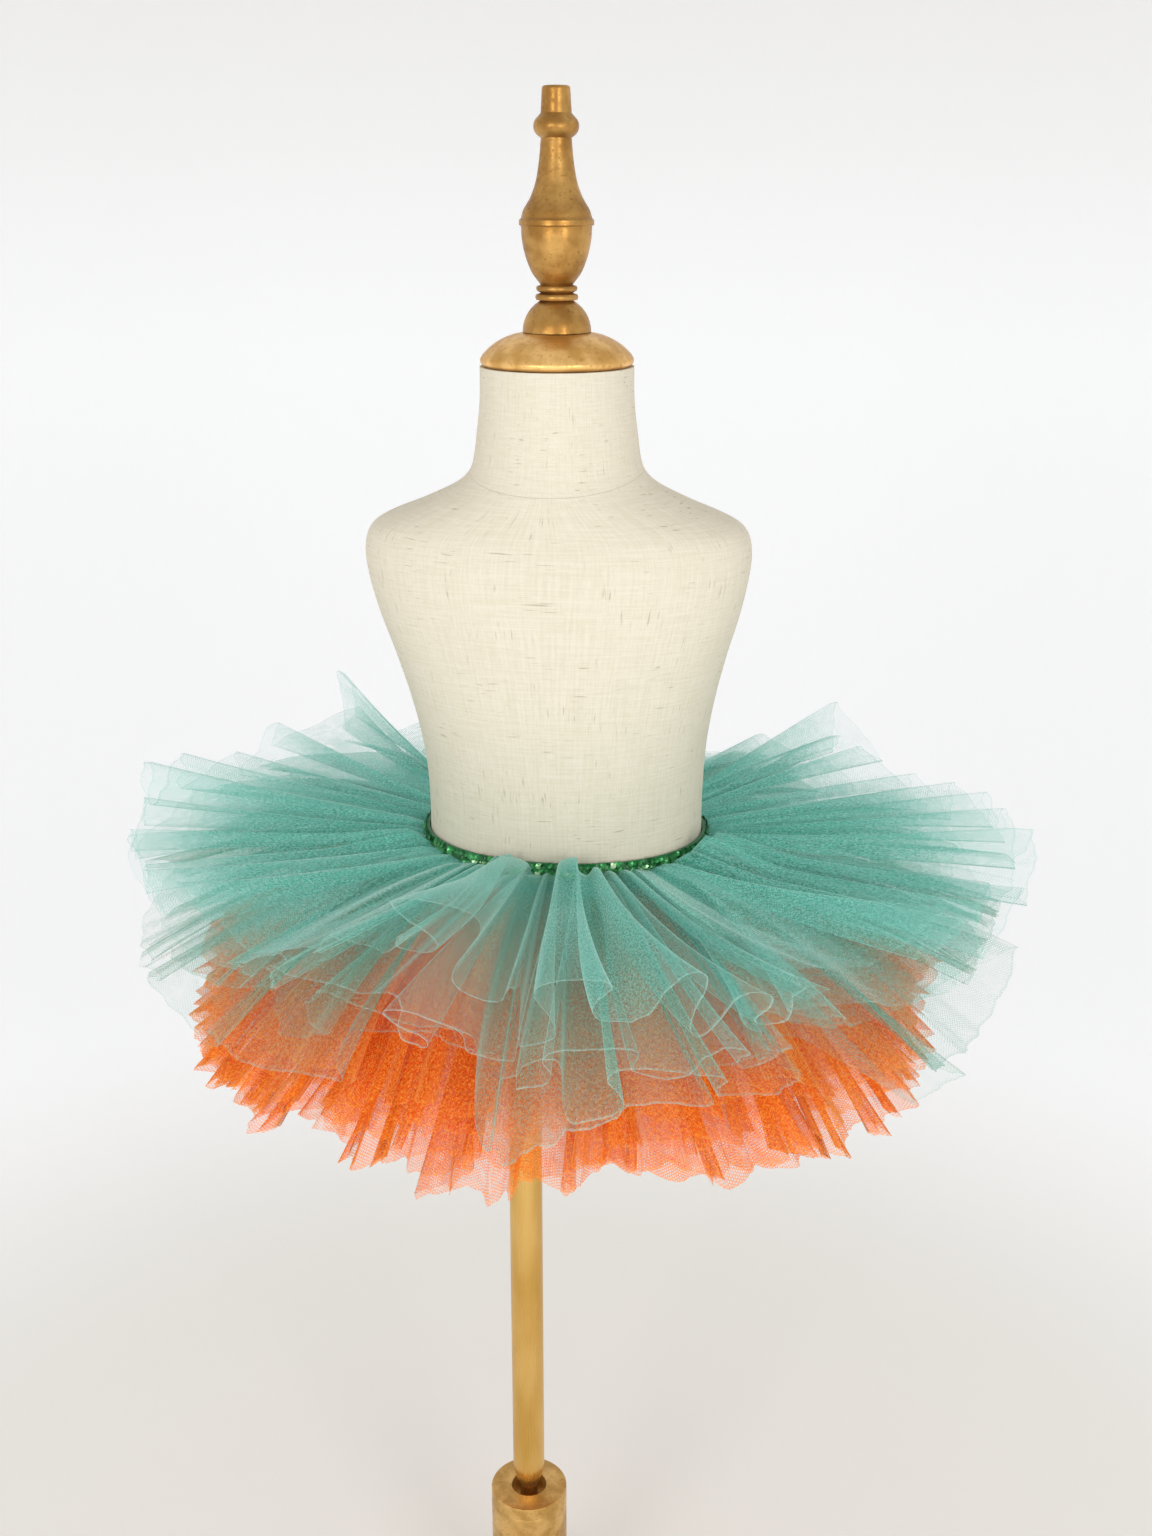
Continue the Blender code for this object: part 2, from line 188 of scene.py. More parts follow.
# The largest folds, shared by all frills: azimuth, half width in degrees, millimetres at the hem
Fold = namedtuple("Fold", "azimuth half_width height")
FOLDS = [Fold(*row) for row in (
    (250, 9, 13), (268, 7, -11), (284, 9, 14), (301, 7, -9), (317, 10, 11), (338, 9, -8),
    (0, 11, 9), (24, 10, -8), (47, 11, 11), (72, 9, -8), (94, 12, 9), (118, 10, -9),
    (140, 12, 11), (163, 10, -8), (184, 12, 9), (207, 9, -9), (229, 9, 8),
)]

# Folds of the top frill that puff up over the band's upper edge, with the same columns; they are
# at their full height from BAND_FOLD_FROM off the band and gone at BAND_FOLD_TO
BAND_FOLDS = [Fold(*row) for row in ((255, 7, 11), (279, 6, 10), (335, 13, 12), (208, 8, 7))]
BAND_FOLD_FROM = 9 * MM
BAND_FOLD_TO = 70 * MM

# Flutes listed one by one where the teal frills show most, side by side from an azimuth: width in
# degrees, height and the depth of the trough before it in millimetres, swing and fold-over as
# shares of its width, its reach as a share more than the frill's, millimetres that it is raised
# at the hem, how round it is (0 a flat pleat, 1 a round flute), how many degrees the hem drifts
# from its root, and how closely the cloth is gathered there (1 is the frill's own).
Flute = namedtuple("Flute", "width height trough swing over reach raised round drift close")
HAND_FROM = {"teal_frill_1": 134, "teal_frill_2": 240, "teal_frill_3": 240, "teal_frill_4": 240}
HAND_FLUTES = {name: np.array(rows, float) for name, rows in {
    "teal_frill_1": (
        (4, 12, 3, 0.00, 0.8, -0.02, -4, 0.3, 0, 0.8),
        (3, 10, 3, 0.00, 0.3, 0.08, 28, 0.2, 0, 0.9),
        (12, 14, 4, 0.00, -0.7, 0.02, 0, 0.5, 0, 0.8),
        (8, 16, 5, 0.00, -0.6, 0.03, 8, 0.2, 0, 0.9),
        (9, 14, 4, 0.00, -0.6, 0.00, 2, 0.2, -1, 0.9),
        (9, 16, 5, 0.00, -0.5, 0.03, 4, 0.2, 0, 0.9),
        (9, 22, 5, 0.10, -0.3, 0.03, -2, 0.9, 0, 0.7),
        (9, 14, 4, 0.00, -0.7, 0.00, -4, 0.3, 0, 0.9),
        (9, 14, 4, 0.00, -0.6, 0.00, 4, 0.3, -1, 0.9),
        (8, 12, 4, 0.00, -0.8, -0.01, 2, 0.3, -2, 1.0),
        (10, 12, 3, 0.00, -0.9, 0.01, 2, 0.2, -2, 1.0),
        (10, 12, 2, 0.00, -1.0, 0.00, 2, 0.2, -3, 1.0),
        (9, 10, 3, 0.05, 0.6, 0.00, -2, 0.3, -3, 1.0),
        (7, 9, 3, 0.05, -0.3, -0.05, 2, 0.5, -2, 0.9),
        (5, 10, 3, 0.05, 0.3, -0.14, 2, 0.6, 0, 0.7),
        (13, 52, 2, 0.38, -0.20, -0.20, 2, 1.0, -4, 0.6),
        (3, 8, 4, 0.08, 0.2, -0.12, -4, 1.0, 1, 0.5),
        (12, 30, 4, 0.26, 0.0, 0.02, -22, 1.0, 3, 0.28),
        (5, 26, 6, 0.10, 0.9, 0.05, -20, 0.8, 6, 1.3),
        (6, 24, 6, 0.12, 0.6, 0.04, -26, 0.9, 9, 0.38),
        (7, 20, 5, 0.14, 0.4, 0.02, -14, 0.9, 11, 0.38),
        (9, 13, 4, 0.00, -0.8, -0.02, 2, 0.2, 10, 1.0),
        (9, 12, 3, 0.00, 0.9, 0.01, 4, 0.2, 8, 1.0),
        (9, 14, 4, 0.00, 0.5, 0.03, -4, 0.2, 6, 1.0),
        (9, 16, 5, 0.00, 0.5, -0.02, 2, 0.3, 4, 1.0),
        (9, 14, 4, 0.00, 0.9, 0.02, -6, 0.3, 2, 0.9),
        (9, 16, 4, 0.00, 0.8, 0.06, 4, 0.3, 1, 0.9),
        (9, 14, 5, 0.00, 0.7, 0.00, 0, 0.3, 0, 0.9),
        (9, 16, 4, 0.00, 0.5, -0.01, 2, 0.2, 0, 0.9),
        (9, 12, 4, 0.00, 0.7, 0.02, 2, 0.2, 0, 0.9),
        (9, 15, 4, 0.00, 0.5, 0.00, -2, 0.2, 0, 0.9),
        (8, 12, 4, 0.00, 0.8, -0.02, 2, 0.3, 0, 0.9),
        (8, 28, 1, 0.00, 0.8, 0.05, 0, 0.1, 0, 0.8),
        (8, 10, 4, 0.00, -0.7, -0.04, 0, 0.3, 0, 1.0),
    ),
    "teal_frill_2": (
        (12, 10, 3, 0.00, -0.5, 0.00, 0, 0.4, -6, 0.8),
        (8, 8, 3, 0.05, 0.2, -0.05, 6, 0.7, -6, 0.5),
        (13, 34, 3, 0.20, -0.5, 0.00, -8, 1.0, -6, 0.3),
        (3, 8, 4, 0.05, 0.2, -0.02, -10, 0.8, -2, 0.3),
        (13, 18, 4, 0.20, 0.0, 0.06, -26, 1.0, -3, 0.28),
        (7, 20, 8, 0.12, 0.4, 0.04, -24, 0.9, 6, 0.36),
        (9, 12, 4, 0.05, 0.5, 0.02, -14, 0.5, 9, 0.8),
    ),
    "teal_frill_3": (
        (14, 8, 3, 0.00, -0.3, -0.12, 14, 0.6, -5, 0.5),
        (12, 10, 4, 0.05, 0.2, -0.14, 14, 0.8, -3, 0.28),
        (4, 8, 3, 0.05, 0.1, 0.08, -28, 0.6, 3, 1.5),
        (9, 9, 4, 0.08, 0.1, -0.05, 6, 0.9, 0, 0.28),
        (19, 46, 4, 0.18, -0.1, 0.03, -32, 1.0, 2, 1.2),
        (8, 10, 4, 0.05, 0.4, 0.02, -6, 0.6, 8, 0.7),
        (14, 9, 3, 0.00, -0.6, -0.06, 12, 0.3, 3, 0.9),
    ),
    "teal_frill_4": (
        (18, 7, 3, 0.00, 0.3, -0.22, 22, 0.6, 0, 0.4),
        (13, 8, 3, 0.05, 0.2, -0.26, 22, 0.8, 0, 0.28),
        (6, 8, 3, 0.05, 0.1, 0.06, -22, 0.5, 0, 1.3),
        (20, 16, 4, 0.10, 0.1, 0.03, -12, 1.0, 3, 1.5),
        (10, 8, 4, 0.05, 0.3, -0.18, 24, 0.6, 4, 0.6),
        (16, 8, 3, 0.00, -0.5, -0.16, 22, 0.4, 2, 0.8),
        (7, 10, 3, 0.00, 0.5, 0.08, -16, 0.3, 2, 0.8),
    ),
}.items()}
RIM_FROM = 0.989  # the cut edge, as a share of a frill's depth
THIN_FROM = 0.62  # strips end at different lengths, so that fewer layers reach the hem
THIN_SHARES = {"teal": 0.74, "orange": 0.30}
GRAIN = 0.3  # how uneven the net's density is from one gather to the next
RIPPLES = 4  # small pleats to a flute
RIPPLE_HEIGHT = 1.6 * MM
RIPPLE_OVER = 0.4
PLEAT_SHARE = 0.09  # how much of a strip is narrow pleats, three layers thick

# Nets: the dye where it is pale and deep; the pale colour it is mixed towards where it is seen edge
# on, a painted sheen, and along its cut edge and on bright thread speckles, painted highlights; the
# share of light that one flat layer stops; and the strength of a painted glow in its own colour,
# which stands in for the light that comes through it from behind. The teal in painted shade is the
# teal made darker and warmer for the two lower teal frills, a painted shade from the frills above.
Net = namedtuple("Net", "name pale deep edge cover glow")
NETS = {
    "teal": Net(
        "teal_net", (0.21, 0.69, 0.58), (0.010, 0.45, 0.33), (0.64, 0.86, 0.80), 0.142, 0.01
    ),
    "deep_teal": Net(
        "deep_teal_net", (0.17, 0.53, 0.39), (0.012, 0.33, 0.22), (0.62, 0.80, 0.70), 0.142, 0.0
    ),
    "orange": Net(
        "orange_net", (0.96, 0.245, 0.012), (0.82, 0.055, 0.0), (0.98, 0.41, 0.08), 0.38, 0.11
    ),
}
NET_CELL = 1.4 * MM

# Gold paint: where it is deep and pale, and where it wore thin. The finial's coat is the stand's
# antique coat made darker, a painted shade, and the cap's made brighter, a painted highlight.
GOLD_COATS = {
    "deep_gold_paint": ((0.36, 0.175, 0.038), (0.56, 0.315, 0.09), (0.17, 0.07, 0.015)),
    "bright_gold_paint": ((0.68, 0.37, 0.095), (0.96, 0.60, 0.22), (0.36, 0.16, 0.04)),
    "antique_gold_paint": ((0.50, 0.285, 0.075), (0.74, 0.47, 0.165), (0.27, 0.135, 0.035)),
}


# ---------------------------------------------------------------- meshes


def smooth_table(rows, steps):
    """A Catmull-Rom curve through the rows of a table, steps to each stretch, as one array."""
    p = np.array(rows, float)
    p = np.vstack([2 * p[0] - p[1], p, 2 * p[-1] - p[-2]])
    a, b, c, d = p[:-3, None], p[1:-2, None], p[2:-1, None], p[3:, None]
    t = (np.arange(steps) / steps)[None, :, None]
    curve = 0.5 * (
        2 * b + (c - a) * t + (2 * a - 5 * b + 4 * c - d) * t**2 + (3 * b - a - 3 * c + d) * t**3
    )
    return np.vstack([curve.reshape(-1, p.shape[1]), p[-2]])


def smooth_step(t):
    """From 0 to 1 with level ends, as t goes from 0 to 1."""
    return t * t * (3 - 2 * t)


def add_grid(name, points, material, uv=None, closed=True, values=None, weld=False, sharp=None):
    """A mesh of quads on a grid of points (rows, columns, 3), each row closed on itself if closed.

    uv is a grid of (rows, columns + 1, 2) where rows are closed, so that it can run on across
    the join. values are named numbers at each point. weld merges points that coincide.
    """
    rows, columns = points.shape[:2]
    spans = columns if closed else columns - 1
    row, column = np.meshgrid(np.arange(rows - 1), np.arange(spans), indexing="ij")
    after = (column + 1) % columns
    this_row, next_row = row * columns, (row + 1) * columns
    corners = np.stack(
        [this_row + column, next_row + column, next_row + after, this_row + after], axis=-1
    ).reshape(-1, 4)
    mesh = bpy.data.meshes.new(name)
    mesh.vertices.add(rows * columns)
    mesh.vertices.foreach_set("co", points.astype(np.float32).ravel())
    mesh.loops.add(corners.size)
    mesh.loops.foreach_set("vertex_index", corners.ravel().astype(np.int32))
    mesh.polygons.add(len(corners))
    mesh.polygons.foreach_set("loop_start", np.arange(0, corners.size, 4, dtype=np.int32))
    mesh.update(calc_edges=True)
    if uv is not None:
        r, c = row.ravel(), column.ravel()
        at_corners = np.stack([uv[r, c], uv[r + 1, c], uv[r + 1, c + 1], uv[r, c + 1]], axis=1)
        layer = mesh.uv_layers.new(name="cloth")
        layer.data.foreach_set("uv", at_corners.astype(np.float32).ravel())
    for label, grid in (values or {}).items():
        attribute = mesh.attributes.new(label, "FLOAT", "POINT")
        attribute.data.foreach_set("value", grid.astype(np.float32).ravel())
    if weld:
        bm = bmesh.new()
        bm.from_mesh(mesh)
        bmesh.ops.remove_doubles(bm, verts=bm.verts[:], dist=WELD)
        bm.to_mesh(mesh)
        bm.free()
    mesh.validate()
    mesh.shade_smooth()
    if sharp is not None:
        mesh.set_sharp_from_angle(angle=math.radians(sharp))
    mesh.materials.append(material)
    ob = bpy.data.objects.new(name, mesh)
    bpy.context.scene.collection.objects.link(ob)
    return ob


def finish_piece(ob, slot, *nodes):
    """Lets a piece ride on the part's one body and stand for CAD nodes, which it hides; its slot is not
    used.
    """
    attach(ob, "root")
    if nodes:
        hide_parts(*nodes)
    return ob


# ---------------------------------------------------------------- materials


class Wire:
    """A number or colour on its way through a material: arithmetic on it adds Math nodes."""

    def __init__(self, finish, socket):
        self.finish = finish
        self.socket = socket

    def math(self, operation, *operands):
        return self.finish.add("ShaderNodeMath", {"operation": operation}, dict(enumerate(operands)))

    def __add__(self, other):
        return self.math("ADD", self, other)

    def __sub__(self, other):
        return self.math("SUBTRACT", self, other)

    def __rsub__(self, other):
        return self.math("SUBTRACT", other, self)

    def __mul__(self, other):
        return self.math("MULTIPLY", self, other)

    def __pow__(self, other):
        return self.math("POWER", self, other)

    def __rpow__(self, other):
        return self.math("POWER", other, self)

    __radd__ = __add__
    __rmul__ = __mul__

    def cosine(self):
        return self.math("COSINE", self)

    def ramp(self, low, high, to_low=0.0, to_high=1.0):
        """Smoothly from to_low where the number is low to to_high where it is high."""
        return self.finish.add(
            "ShaderNodeMapRange",
            {"interpolation_type": "SMOOTHSTEP"},
            {"Value": self, "From Min": low, "From Max": high, "To Min": to_low, "To Max": to_high},
        )


class Finish:
    """A material being written: one Principled surface, and the nodes that feed it."""

    def __init__(self, name, **constants):
        self.material = bpy.data.materials.new(name)
        self.material.use_nodes = True
        self.tree = self.material.node_tree
        self.surface = self.tree.nodes["Principled BSDF"]
        for socket, value in constants.items():
            self.surface.inputs[socket.replace("_", " ")].default_value = value

    def feed(self, socket, value):
        """Links a value to a socket, or sets it there where it is a plain number or colour."""
        if isinstance(value, Wire):
            self.tree.links.new(value.socket, socket)
        else:
            socket.default_value = value

    def add(self, kind, settings=None, inputs=None, output=0):
        """Adds a node: its settings first, then the values or links of its sockets."""
        node = self.tree.nodes.new(kind)
        for name, value in (settings or {}).items():
            setattr(node, name, value)
        for name, value in (inputs or {}).items():
            self.feed(node.inputs[name], value)
        return Wire(self, node.outputs[output])

    def mix(self, share, first, second):
        """A colour between two others."""
        first, second = ((*c, 1.0) if isinstance(c, tuple) else c for c in (first, second))
        return self.add("ShaderNodeMix", {"data_type": "RGBA"}, {0: share, 6: first, 7: second}, 2)

    def place(self, kind="UV", scale=(1, 1, 1)):
        """Where a point is: on the cloth in metres (UV) or in the frame (Object), stretched."""
        where = self.add("ShaderNodeTexCoord", output=kind)
        return self.add("ShaderNodeMapping", {}, {"Vector": where, "Scale": scale})

    def noise(self, where, scale, detail=2.0, roughness=0.5):
        """Smooth random values about 0.5, scale of them to a unit of where."""
        settings = {"Vector": where, "Scale": scale, "Detail": detail, "Roughness": roughness}
        return self.add("ShaderNodeTexNoise", {}, settings)

    def stretched(self, across, down, detail=1.0, roughness=0.5):
        """Noise on the cloth with so many values to a metre across it and down it."""
        return self.noise(self.place(scale=(across, down, 1)), 1.0, detail, roughness)

    def attribute(self, name):
        """A named number that the mesh carries at each point."""
        return self.add("ShaderNodeAttribute", {"attribute_name": name}, {}, "Fac")

    def bump(self, height, strength, distance):
        """Relief of a height map, distance deep in metres."""
        normal = self.add(
            "ShaderNodeBump", {}, {"Height": height, "Strength": strength, "Distance": distance}
        )
        self.feed(self.surface.inputs["Normal"], normal)

    def done(self, **links):
        """Feeds the surface's varying sockets and gives the material."""
        for socket, value in links.items():
            self.feed(self.surface.inputs[socket.replace("_", " ")], value)
        return self.material


def linen():
    """Pale linen: crossed threads, long faint streaks and short grey-brown slubs along both ways."""
    f = Finish("linen_cloth", Roughness=0.9, Specular_IOR_Level=0.2)
    patches = f.stretched(32, 32, 2.0)
    across = f.stretched(75, 780, roughness=0.6).ramp(0.62, 0.76) * patches.ramp(0.50, 0.60)
    upright = f.stretched(780, 75, roughness=0.6).ramp(0.62, 0.76) * patches.ramp(0.50, 0.40)
    thread = f.stretched(1500, 200) + f.stretched(200, 1500)
    streak = f.stretched(36, 800) + f.stretched(800, 30)
    weave = thread * 0.4 + streak * 0.6
    cloth = f.mix(weave.ramp(0.7, 1.3), (0.715, 0.65, 0.50), (0.80, 0.735, 0.61))
    colour = f.mix((across + upright) * 0.6, cloth, (0.38, 0.32, 0.22))
    f.bump(thread, 0.15, 0.25 * MM)
    return f.done(Base_Color=colour)


def painted_gold(name):
    """Gold paint on turned wood: mottled, from deep to pale, and thin where it wore. The finial's coat is
    darker and the cap's brighter, a painted shade and a painted highlight.
    """
    deep, pale, thin = GOLD_COATS[name]
    f = Finish(name, Metallic=0.82)
    fine = f.noise(f.place("Object"), 420, 3.0, 0.6)
    broad = f.noise(f.place("Object"), 60, 3.0, 0.55)
    turned_rings = f.noise(f.place("Object", (6, 6, 700)), 1.0, 2.0)
    gold = f.mix(broad.ramp(0.35, 0.68), deep, pale)
    worn = f.mix(fine.ramp(0.56, 0.74) * 0.5, gold, thin)
    f.bump(fine + turned_rings * 0.6, 0.22, 0.3 * MM)
    return f.done(Base_Color=worn, Roughness=fine.ramp(0.3, 0.75, 0.30, 0.50))


def brushed_gold():
    """Gold-plated tube, brushed along its length, with faint cloudy tarnish."""
    f = Finish("brushed_gold_tube", Metallic=0.96)
    brush = f.noise(f.place("Object", (900, 900, 9)), 1.0, 2.0)
    cloud = f.noise(f.place("Object", (40, 40, 12)), 1.0, 2.0)
    colour = f.mix(cloud.ramp(0.35, 0.7), (0.62, 0.36, 0.085), (0.76, 0.48, 0.15))
    f.bump(brush, 0.12, 0.1 * MM)
    return f.done(Base_Color=colour, Roughness=brush.ramp(0.3, 0.7, 0.24, 0.36))


def band_cloth():
    """Dark green knitted elastic behind the sequins."""
    f = Finish("green_elastic", Roughness=0.8, Sheen_Weight=0.2)
    rib = f.stretched(1400, 90)
    colour = f.mix(rib.ramp(0.35, 0.65), (0.015, 0.12, 0.045), (0.03, 0.22, 0.08))
    f.bump(rib, 0.4, 0.4 * MM)
    return f.done(Base_Color=colour)


def sequin_foil():
    """Bright green metallic foil: each sequin has its own depth of colour, and the palest are painted
    glints.
    """
    f = Finish("green_sequin_foil", Metallic=0.6, Coat_Weight=0.25, Coat_Roughness=0.12)
    tone = f.attribute("tone")
    deep = f.mix(tone.ramp(0.0, 0.9), (0.008, 0.10, 0.025), (0.05, 0.32, 0.09))
    # The top of the tone range turns pale: painted glints
    colour = f.mix(tone.ramp(0.86, 1.0), deep, (0.50, 0.72, 0.42))
    return f.done(Base_Color=colour, Roughness=tone.ramp(0.0, 1.0, 0.42, 0.24))


def tulle(net):
    """Stiff net: a hexagonal mesh of threads, denser where it is gathered and along its cut edge.

    The mesh is the sum of three plane waves 60 degrees apart, NET_CELL from thread to thread. A
    point's open share is 1 - cover * threads, to the power of how many layers lie there. Seen
    edge on, more threads line up and the net is denser. Its colour is mixed towards a pale one where
    it is seen edge on, a painted sheen, and along the cut edge and on bright speckles, painted
    highlights. It glows in its own colour, a painted glow for light coming through it.
    """
    # Emission in the net's own colour: a painted glow for light that comes through it
    f = Finish(
        net.name, Roughness=0.62, Specular_IOR_Level=0.15, Sheen_Weight=0.08, Sheen_Roughness=0.4,
        Emission_Strength=net.glow,
    )
    turn = 2 * math.pi / NET_CELL
    tilt = math.sqrt(3) / 2
    where = f.add("ShaderNodeTexCoord", output="UV")
    waves = 0.0
    for along, down in ((turn, 0.0), (turn / 2, turn * tilt), (turn / 2, -turn * tilt)):
        sockets = {0: where, 1: (along, down, 0)}
        phase = f.add("ShaderNodeVectorMath", {"operation": "DOT_PRODUCT"}, sockets, "Value")
        waves = phase.cosine() + waves
    threads = waves.ramp(1.2, -1.3)
    speckle = f.noise(f.place(), 0.75 / NET_CELL, 1.0, 0.6).ramp(0.35, 0.65)
    glance = f.add("ShaderNodeLayerWeight", {}, {}, "Facing")
    edge_on_density_and_sheen = glance.ramp(0.45, 0.9)
    rim = f.attribute("rim")
    thickness = f.attribute("layers") * (1.08 - glance) ** -1 * (1 + edge_on_density_and_sheen)
    open_share = 1 - (threads * 1.5 + speckle * 0.5 + 0.08) * net.cover
    alpha = 1 - open_share**thickness * (1 - rim * 0.4)
    cloth = f.mix(threads * 0.3 + f.attribute("tone") + speckle * 0.8 - 0.4, net.deep, net.pale)
    # Towards the pale colour: a painted sheen seen edge on, painted highlights on the cut edge and bright
    # speckles
    colour = f.mix(edge_on_density_and_sheen * 0.4 + rim * 0.6 + speckle * speckle * 0.4, cloth, net.edge)
    return f.done(Base_Color=colour, Alpha=alpha, Emission_Color=colour)


# ---------------------------------------------------------------- form


def form_table():
    """The form's sections as one dense smooth table, lowest first, in metres."""
    rows = smooth_table(FORM_SECTIONS, 12)
    rows[:, :4] *= MM
    return rows[::-1]


FORM_TABLE = form_table()


def form_point(angle, height, grow=0.0):
    """Points on the form at angles and heights above the waist, moved out by grow.

    The section at a height is a superellipse: cosine and sine to the power 2 / square, times the
    half width and the front or back reach; its centre drifts from the neck's line to the waist's
    by a smooth step; all is turned by FORM_TURN.
    """
    half_width, front, back, square = (
        np.interp(height, FORM_TABLE[:, 0], FORM_TABLE[:, k]) for k in range(1, 5)
    )
    power = 2 / square
    c, s = np.cos(angle), np.sin(angle)
    across = np.sign(c) * np.abs(c) ** power * (half_width + grow)
    along = np.sign(s) * np.abs(s) ** power * (np.where(s < 0, front, back) + grow)
    t = np.clip((height - SHIFT_FROM) / (SHIFT_TO - SHIFT_FROM), 0, 1)
    centre = WAIST_OFFSET + (NECK_OFFSET - WAIST_OFFSET) * smooth_step(t)
    x = centre + across * math.cos(FORM_TURN) - along * math.sin(FORM_TURN)
    y = across * math.sin(FORM_TURN) + along * math.cos(FORM_TURN)
    return np.stack([x, y, WAIST_HEIGHT + height + 0 * x], axis=-1)


def linen_cover(name, material, top, bottom, rows, tuck_top, tuck_bottom, close_top, close_bottom):
    """A linen cover between two heights, which may vary round the form.

    Rows run evenly from top to bottom. Both ends are tucked in a little, and may be closed by a
    flat disc. The cloth's own coordinates are its length round the chest and the height, in
    metres.
    """
    columns = 176
    angle = np.linspace(0, 2 * np.pi, columns, endpoint=False)[None, :]
    share = np.linspace(0, 1, rows)[:, None]
    height = top(angle) + (bottom(angle) - top(angle)) * share
    points = form_point(angle + 0 * share, height)

    def end(row, tuck, closed):
        """An end's edge, tucked in towards the form's axis, and the middle of its disc."""
        inward = np.array([WAIST_OFFSET, 0.0]) - row[:, :2]
        inward /= np.linalg.norm(inward, axis=1)[:, None]
        edge = row.copy()
        edge[:, :2] += inward * tuck
        middle = edge.copy()
        middle[:, :2] = edge[:, :2].mean(axis=0)
        return [edge, middle] if closed else [edge]

    top_end = end(points[0], tuck_top, close_top)[::-1]
    bottom_end = end(points[-1], tuck_bottom, close_bottom)
    grid = np.concatenate([top_end, points, bottom_end])
    u = np.linspace(0, ROUND_CHEST, columns + 1)[None, :] + 0 * grid[:, :1, 0]
    v = np.concatenate([grid[:, :, 2], grid[:, :1, 2]], axis=1)
    return add_grid(name, grid, material, np.stack([u, v], axis=-1), weld=True, sharp=50)


def seam_height(angle):
    """The neck seam: level at the back and sides, dipping at the front."""
    front = np.clip(-np.sin(angle), 0, 1) ** 1.6
    return NECK_SEAM - NECK_SEAM_DIP * front


def dress_form(material):
    """The form's two linen covers, neck and body, which meet at the neck's seam."""

    def level(height):
        return lambda angle: height + 0 * angle

    neck_top = FORM_SECTIONS[0].height * MM
    foot = FORM_SECTIONS[-1].height * MM
    neck = linen_cover(
        "neck_cover", material, level(neck_top), lambda a: seam_height(a) + SEAM_HALF_GAP,
        NECK_ROWS, END_TUCK, SEAM_TUCK, close_top=True, close_bottom=False,
    )
    body = linen_cover(
        "body_cover", material, lambda a: seam_height(a) - SEAM_HALF_GAP, level(foot),
        BODY_ROWS, SEAM_TUCK, END_TUCK, close_top=False, close_bottom=True,
    )
    finish_piece(neck, "linen", "form_body")
    finish_piece(body, "linen", "form_body")


# ---------------------------------------------------------------- stand


def arc(centre, radius, start, end, steps):
    """Points of a circle's arc as (radius, height) rows, from start to end degrees."""
    a = np.radians(np.linspace(start, end, steps + 1))
    return np.stack([centre[0] + radius * np.cos(a), centre[1] + radius * np.sin(a)], axis=1)


def turned(name, profile, centre, foot, material):
    """A lathe-turned piece: a profile of (radius, height), top to bottom, carried round its axis."""
    radius, height = np.array(profile).T * MM
    angle = np.linspace(0, 2 * np.pi, TURN_COLUMNS, endpoint=False)
    grid = np.stack(
        [centre + radius[:, None] * np.cos(angle), radius[:, None] * np.sin(angle),
         foot + height[:, None] + 0 * angle],
        axis=-1,
    )
    ob = add_grid(name, grid, material, weld=True, sharp=38)
    return finish_piece(ob, "painted_gold", name.replace("turned_", ""))


def neck_cap(material):
    """The disc on the neck: a low dome with a rounded rim."""
    dome = smooth_table([(19, 18.4), (25, 17.2), (31.5, 14.7), (37.5, 11), (42, 6.8)], 8)
    rim = arc((40.6, 3.2), 3.2, 20, -70, 10)
    profile = np.vstack([[0, dome[0][1]], dome, rim, [0, rim[-1][1]]])
    turned("turned_neck_cap", profile, NECK_OFFSET, CAP_SEAT - rim[-1][1] * MM, material)


def finial(material):
    """Upwards: half ball, two rings, vase, ridge, bottle neck, bead and knob."""
    upwards = np.vstack([
        [(0, 0)],
        arc((0, 0), 19.4, 0, 56, 14),
        [(9.2, 17.2)],
        arc((9.8, 18.9), 2.3, -40, 40, 6),
        [(9.0, 21.2)],
        arc((9.6, 23.6), 2.0, -40, 40, 6),
        [(9.0, 25.6)],
        smooth_table([(10.2, 27.0), (14.2, 32.6), (17.5, 41.0), (19.4, 50.0), (19.8, 56.6)], 6),
        [(19.9, 57.0), (20.9, 57.5), (20.9, 60.1), (20.3, 60.7)],
        smooth_table([(19.8, 61.2), (18.4, 65.6), (14.6, 72), (11.6, 80), (9.6, 91), (8.5, 102.8)], 6),
        arc((6.6, 108.8), 6.0, -60, 50, 10),
        [(8.5, 115.6), (7.8, 127.6)],
        arc((6.2, 127.9), 1.6, 0, 80, 4),
        [(0, 129.6)],
    ])
    turned("turned_finial", upwards[::-1], NECK_OFFSET, FINIAL_SEAT, material)


def hub(material):
    """The turned block that holds the pole: a bored cup, a groove, a waist and a flared foot."""
    top = (HUB_TOP - HUB_FOOT) / MM
    r = HUB_RADIUS / MM
    groove = top - 10
    profile = np.vstack([
        [(0, top - 34.3), (HUB_BORE / MM, top - 34.3), (HUB_BORE / MM, top - 9)],
        [(CUP_RADIUS / MM, top - 9), (CUP_RADIUS / MM, top - 0.5), (CUP_RADIUS / MM + 0.5, top)],
        [(r - 1.2, top), (r - 0.4, top - 0.3), (r, top - 1.2), (r, groove + 0.8)],
        [(r - 0.8, groove), (r, groove - 0.8), (r, 62)],
        smooth_table([(r, 62), (r - 2.4, 58), (r - 3, 53), (r - 2.4, 48), (r, 46)], 4),
        smooth_table([(r, 46), (r + 4, 34), (38, 14)], 6),
        [(38, 2), (37.4, 0.6), (36, 0), (0, 0)],
    ])
    turned("turned_hub", profile, 0.0, HUB_FOOT, material)


